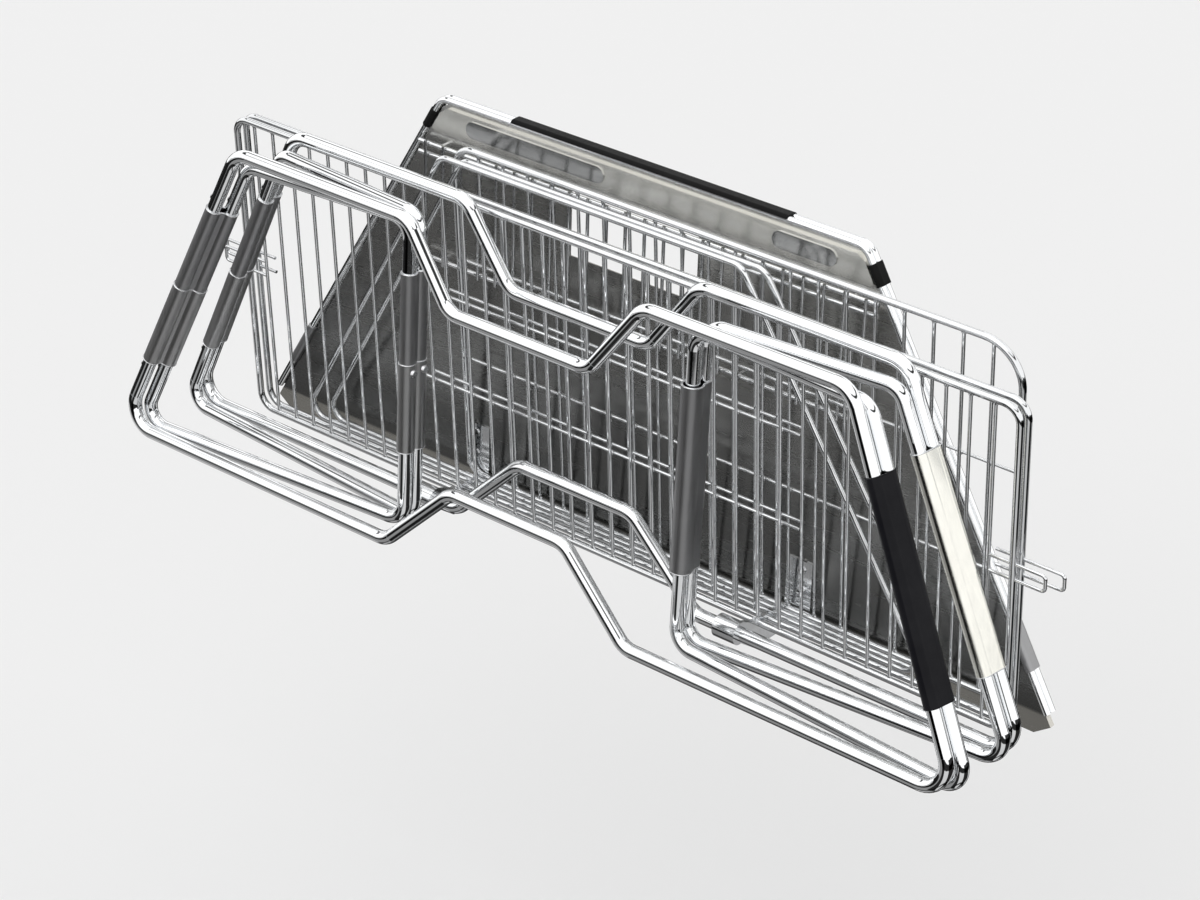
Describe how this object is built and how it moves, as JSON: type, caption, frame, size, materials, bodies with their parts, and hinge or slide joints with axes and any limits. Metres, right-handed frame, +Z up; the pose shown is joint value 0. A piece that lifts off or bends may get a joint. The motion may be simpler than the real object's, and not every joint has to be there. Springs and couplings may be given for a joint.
{
  "type": "wall mounted fold down drying rack",
  "caption": "Flat pack of slanted tube frames with hinged folding gussets, upright wire shelves and a loop stand in front of a trapezoid wall panel; the frames swing down from the wall.",
  "frame": {"origin": "centre of the four wall holes, on the wall's face", "axes": "+X along the wall to the right, seen from the room; +Y into the wall; +Z up"},
  "size_m": [0.8975, 0.1786, 0.3676],
  "materials": {
    "tube": "polished",
    "wire": "polished wire",
    "sleeve": "satin, folded sheet",
    "sleeve_lower": "satin, folded sheet",
    "dark_sleeve": "dark, glossy",
    "cream_sleeve": "pale, glossy",
    "panel": "satin sheet",
    "band": "satin sheet",
    "rib": "satin, pressed",
    "grip": "soft black",
    "rivet": "turned head",
    "arm": "polished plate"
  },
  "bodies": {
    "wall_unit": {"wall_panel": "panel", "panel_band": "band", "band_ribs": "rib", "rim_rear": "tube", "rim_front": "tube", "rim_grip": "grip", "rim_corner_caps": "grip", "rim_foot_sleeves": "sleeve", "grate_rails": "wire", "grate_bars": "wire", "grate_studs": "wire", "arm_left": "arm", "arm_right": "arm", "arm_screws": "rivet"},
    "rear_frame": {"rear_frame": "tube", "rear_sleeve_right": "cream_sleeve", "rear_sleeve_left_upper": "sleeve", "rear_sleeve_left_lower": "sleeve_lower", "rear_frame_rivet": "rivet"},
    "rear_gusset_left": {"rear_gusset_left": "tube", "rear_gusset_rivet": "rivet"},
    "rear_gusset_right": {"rear_gusset_right": "tube"},
    "mid_sleeve_left": {"mid_sleeve_left_upper": "sleeve", "mid_sleeve_left_lower": "sleeve_lower", "mid_sleeve_rivets": "rivet"},
    "mid_sleeve_right": {"mid_sleeve_right": "sleeve"},
    "front_gusset_left": {"front_gusset_left": "tube", "front_gusset_rivet": "rivet"},
    "front_gusset_right": {"front_gusset_right": "tube"},
    "front_frame": {"front_frame": "tube", "front_sleeve_right": "dark_sleeve", "front_sleeve_left_upper": "sleeve", "front_sleeve_left_lower": "sleeve_lower", "front_frame_rivet": "rivet"},
    "shelf_a": {"shelf_a_rim": "wire", "shelf_a_bars": "wire", "shelf_a_cross_wires": "wire", "shelf_a_end_loops": "wire"},
    "shelf_b": {"shelf_b_rim": "wire", "shelf_b_bars": "wire", "shelf_b_cross_wires": "wire", "shelf_b_end_loops": "wire"},
    "short_shelf": {"short_shelf_rim": "wire", "short_shelf_bars": "wire", "short_shelf_cross_wires": "wire"},
    "loop_stand": {"stand_loop_front": "wire", "stand_loop_rear": "wire", "stand_ties": "wire"}
  },
  "joints": [
    {"name": "fold_down", "type": "hinge", "parent": "wall_unit", "child": "rear_frame", "pos_m": [0, -0.089, -0.145], "axis": [1, 0, 0], "range_deg": [0, 90]},
    {"name": "rear_gusset_left_fold", "type": "hinge", "parent": "rear_frame", "child": "rear_gusset_left", "pos_m": [-0.447, -0.102, -0.145], "axis": [-0.4133, 0, -0.9106], "range_deg": [-3.5, 33]},
    {"name": "rear_gusset_right_fold", "type": "hinge", "parent": "rear_frame", "child": "rear_gusset_right", "pos_m": [0.447, -0.102, -0.145], "axis": [-0.4133, 0, 0.9106], "range_deg": [-3.5, 33]},
    {"name": "mid_left_rear_fold", "type": "hinge", "parent": "rear_gusset_left", "child": "mid_sleeve_left", "pos_m": [-0.148, -0.102, 0.5137], "axis": [0.0013, 0.0339, 0.9994], "range_deg": [-3.2, 29.8]},
    {"name": "mid_left_front_fold", "type": "hinge", "parent": "mid_sleeve_left", "child": "front_gusset_left", "pos_m": [-0.148, -0.11499, 0.51414], "axis": [0.0013, 0.0339, 0.9994], "range_deg": [-3.2, 29.8]},
    {"name": "front_frame_left_fold", "type": "hinge", "parent": "front_gusset_left", "child": "front_frame", "pos_m": [-0.447, -0.15958, -0.14305], "axis": [-0.4133, -0.0616, -0.9085], "range_deg": [-3.5, 33]},
    {"name": "front_gusset_right_fold", "type": "hinge", "parent": "front_frame", "child": "front_gusset_right", "pos_m": [0.447, -0.15958, -0.14305], "axis": [0.4133, -0.0616, -0.9085], "range_deg": [-3.5, 33]},
    {"name": "mid_right_rear_fold", "type": "hinge", "parent": "rear_gusset_right", "child": "mid_sleeve_right", "pos_m": [0.148, -0.102, 0.5137], "axis": [0.0013, -0.0339, -0.9994], "range_deg": [-3.2, 29.8]},
    {"name": "shelf_a_lift", "type": "slide", "parent": "wall_unit", "child": "shelf_a", "axis": [0, -0.0762, 0.9971], "range_m": [0, 0.36]},
    {"name": "shelf_b_lift", "type": "slide", "parent": "wall_unit", "child": "shelf_b", "axis": [0, -0.0762, 0.9971], "range_m": [0, 0.36]},
    {"name": "short_shelf_lift", "type": "slide", "parent": "wall_unit", "child": "short_shelf", "axis": [0, -0.0762, 0.9971], "range_m": [0, 0.36]},
    {"name": "loop_stand_lift", "type": "slide", "parent": "wall_unit", "child": "loop_stand", "axis": [0, -0.0762, 0.9971], "range_m": [0, 0.36]}
  ],
  "couplings": [
    {"joint": "rear_gusset_right_fold", "follows": "rear_gusset_left_fold", "ratio": 1},
    {"joint": "mid_left_rear_fold", "follows": "rear_gusset_left_fold", "ratio": 0.9},
    {"joint": "mid_left_front_fold", "follows": "rear_gusset_left_fold", "ratio": 0.9},
    {"joint": "front_frame_left_fold", "follows": "rear_gusset_left_fold", "ratio": 1},
    {"joint": "front_gusset_right_fold", "follows": "rear_gusset_left_fold", "ratio": 1},
    {"joint": "mid_right_rear_fold", "follows": "rear_gusset_left_fold", "ratio": 0.9}
  ]
}
